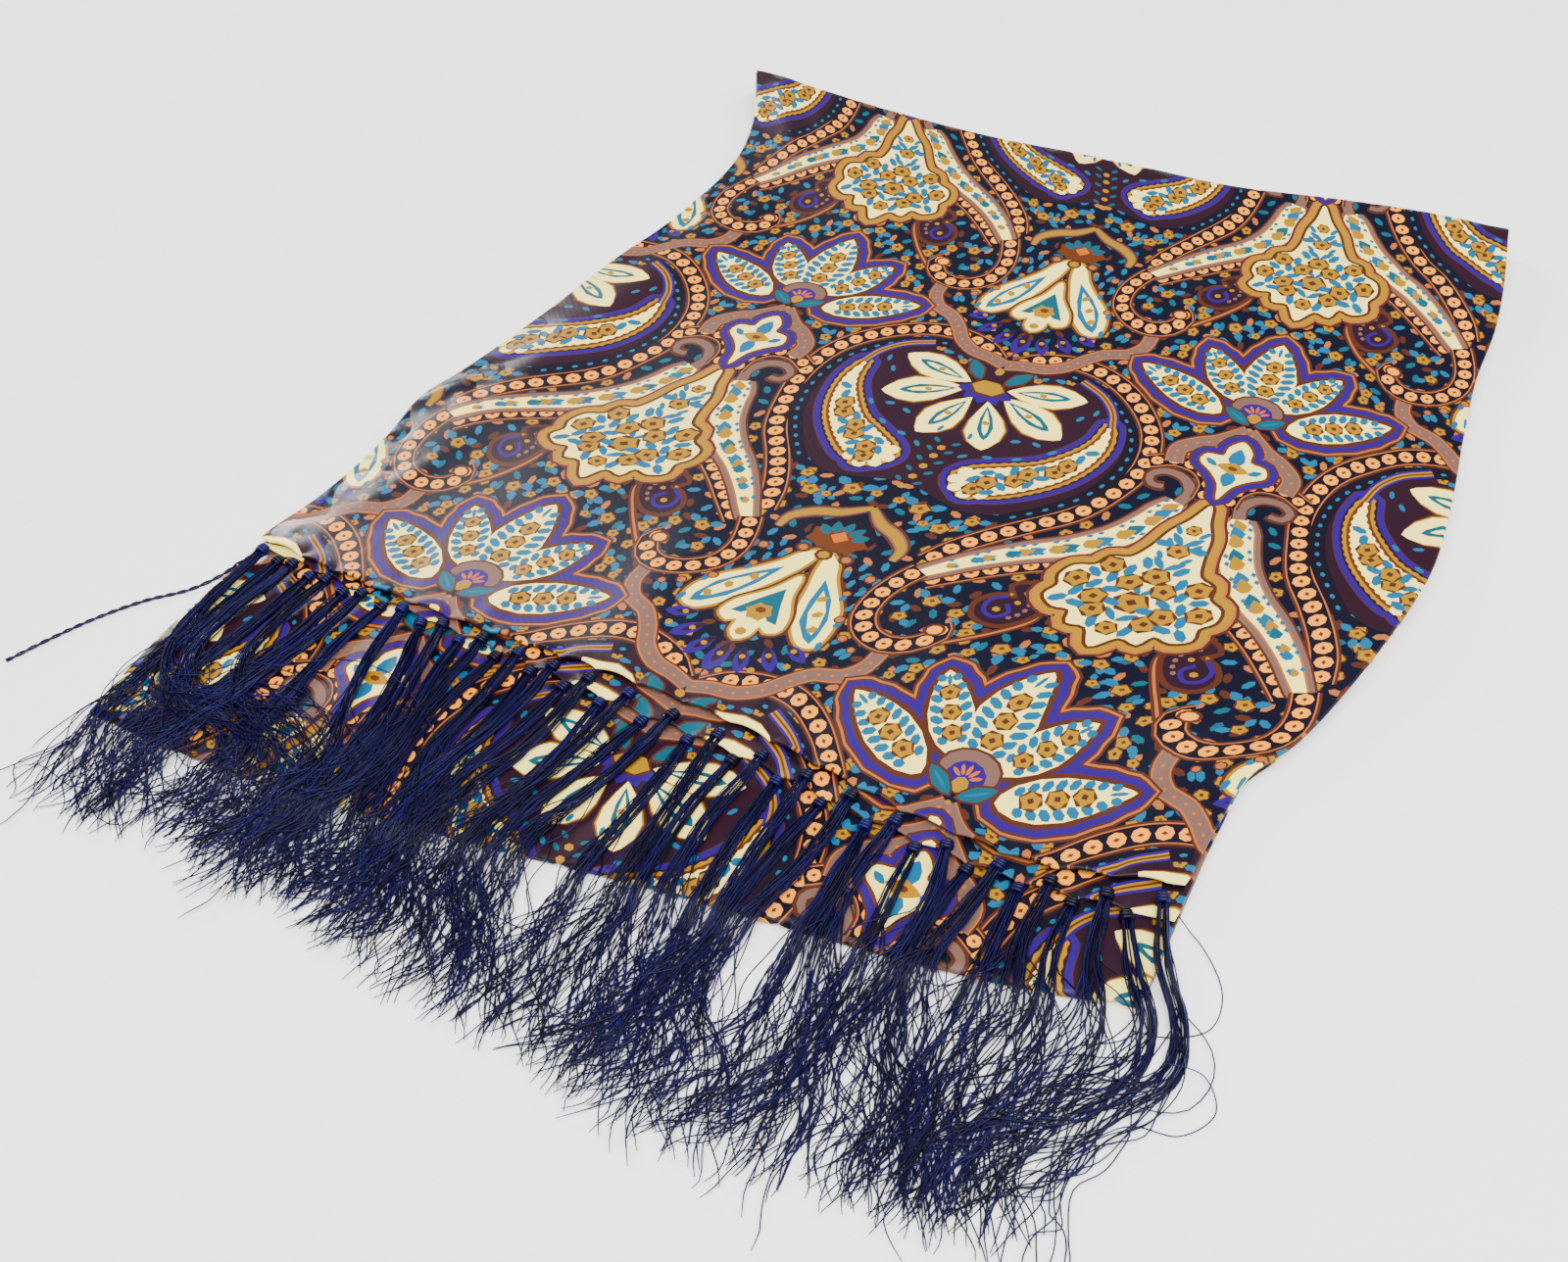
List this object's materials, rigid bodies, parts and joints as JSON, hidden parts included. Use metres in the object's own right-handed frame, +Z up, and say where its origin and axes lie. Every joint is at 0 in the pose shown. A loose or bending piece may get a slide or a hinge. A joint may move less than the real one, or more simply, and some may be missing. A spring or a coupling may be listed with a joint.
{
  "type": "fringed scarf",
  "caption": "Printed silk dress scarf with a knotted thread fringe, folded into a flat stack and laid on a surface.",
  "frame": {"origin": "on the flat underside, below the middle of the upper hem", "axes": "+Z up out of the surface it lies on, +Y along the cloth away from the fringe, +X to the right seen from the fringe"},
  "size_m": [0.3418, 0.3865, 0.0122],
  "materials": {
    "printed_silk": "soft sheen",
    "fringe_thread": "soft sheen"
  },
  "bodies": {
    "root": {"top_stretch": "printed_silk", "second_stretch": "printed_silk", "lower_fold": "printed_silk", "top_fringe": "fringe_thread", "second_fringe": "fringe_thread", "stray_lock": "fringe_thread"}
  },
  "joints": []
}
